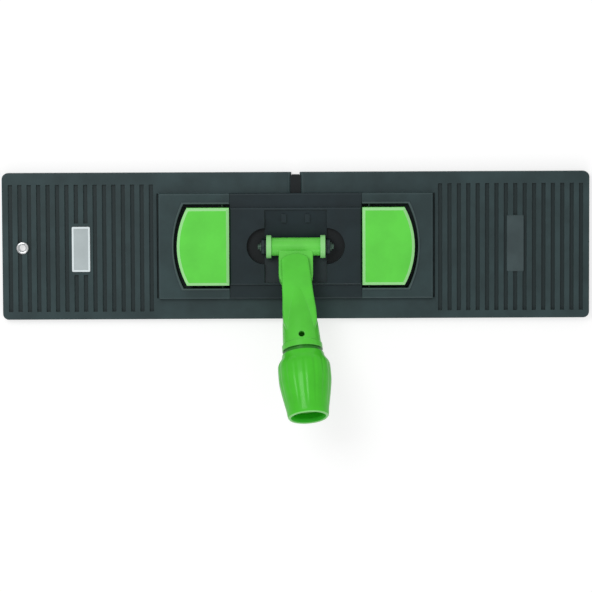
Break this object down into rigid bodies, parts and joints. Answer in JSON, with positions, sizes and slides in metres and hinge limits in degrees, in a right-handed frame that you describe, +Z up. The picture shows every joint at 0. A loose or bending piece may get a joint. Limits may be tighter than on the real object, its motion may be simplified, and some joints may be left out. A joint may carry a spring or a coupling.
{
  "type": "folding flat mop frame",
  "caption": "Flat folding mop frame with ribbed wings, foot pedals that release the fold, and a tilting, swivelling pole socket with a clamping nut.",
  "frame": {"origin": "centre of the sole, on the underside of the middle body's spine", "axes": "+X along the frame to the right-hand wing, +Y across it away from the handle, +Z up from the floor"},
  "size_m": [0.5, 0.2078, 0.1004],
  "materials": {
    "wing_plastic": "dark grey-green moulded polypropylene, fine satin texture",
    "middle_plastic": "darker grey moulded plastic, satin",
    "pedal_plastic": "bright green moulded plastic, satin",
    "handle_plastic": "bright green moulded plastic, half gloss",
    "pin_steel": "bright drawn steel",
    "spring_steel": "zinc-plated spring wire",
    "washer_plastic": "natural acetal",
    "label_film": "blank pale film with a lighter border",
    "eyelet_metal": "rolled bright eyelet"
  },
  "bodies": {
    "frame_middle": {"centre_body": "middle_plastic", "wing_hinge_pin_left": "pin_steel", "wing_hinge_pin_right": "pin_steel", "cross_pin": "pin_steel", "cross_pin_ring_left": "pin_steel", "cross_pin_ring_right": "pin_steel", "cross_washer_left": "washer_plastic", "cross_washer_right": "washer_plastic"},
    "left_wing": {"wing_left": "wing_plastic", "pedal_pin_left": "pin_steel", "pedal_spring_left": "spring_steel", "blank_label": "label_film", "hanging_eyelet": "eyelet_metal"},
    "right_wing": {"wing_right": "wing_plastic", "pedal_pin_right": "pin_steel", "pedal_spring_right": "spring_steel"},
    "left_pedal": {"pedal_left": "pedal_plastic"},
    "right_pedal": {"pedal_right": "pedal_plastic"},
    "cross": {"joint_cross": "handle_plastic"},
    "handle": {"handle_socket": "handle_plastic", "swivel_pin": "pin_steel"},
    "nut": {"clamp_nut": "handle_plastic"}
  },
  "joints": [
    {"name": "wing_left_fold", "type": "hinge", "parent": "frame_middle", "child": "left_wing", "pos_m": [-0.0075, 0, 0.004], "axis": [0, -1, 0], "range_deg": [0, 85]},
    {"name": "wing_right_fold", "type": "hinge", "parent": "frame_middle", "child": "right_wing", "pos_m": [0.0075, 0, 0.004], "axis": [0, 1, 0], "range_deg": [0, 85]},
    {"name": "pedal_left_press", "type": "hinge", "parent": "left_wing", "child": "left_pedal", "pos_m": [-0.0625, 0, 0.0062], "axis": [0, -1, 0], "range_deg": [0, 8], "stiffness_Nm_per_rad": 2, "springref_deg": -5.73, "deforming": ["pedal_spring_left"]},
    {"name": "pedal_right_press", "type": "hinge", "parent": "right_wing", "child": "right_pedal", "pos_m": [0.0625, 0, 0.0062], "axis": [0, 1, 0], "range_deg": [0, 8], "stiffness_Nm_per_rad": 2, "springref_deg": -5.73, "deforming": ["pedal_spring_right"]},
    {"name": "handle_pitch", "type": "hinge", "parent": "frame_middle", "child": "cross", "pos_m": [0, 0, 0.021], "axis": [-1, 0, 0], "range_deg": [0, 130]},
    {"name": "handle_swivel", "type": "hinge", "parent": "cross", "child": "handle", "pos_m": [0, -0.02311, 0.03178], "axis": [0, 0.4226, 0.9063], "range_deg": [-49.5, 40.5]},
    {"name": "nut_turn", "type": "hinge", "parent": "handle", "child": "nut", "pos_m": [0, -0.02311, 0.03178], "axis": [0.0785, -0.9035, 0.4213], "range_deg": [0, 180]}
  ]
}
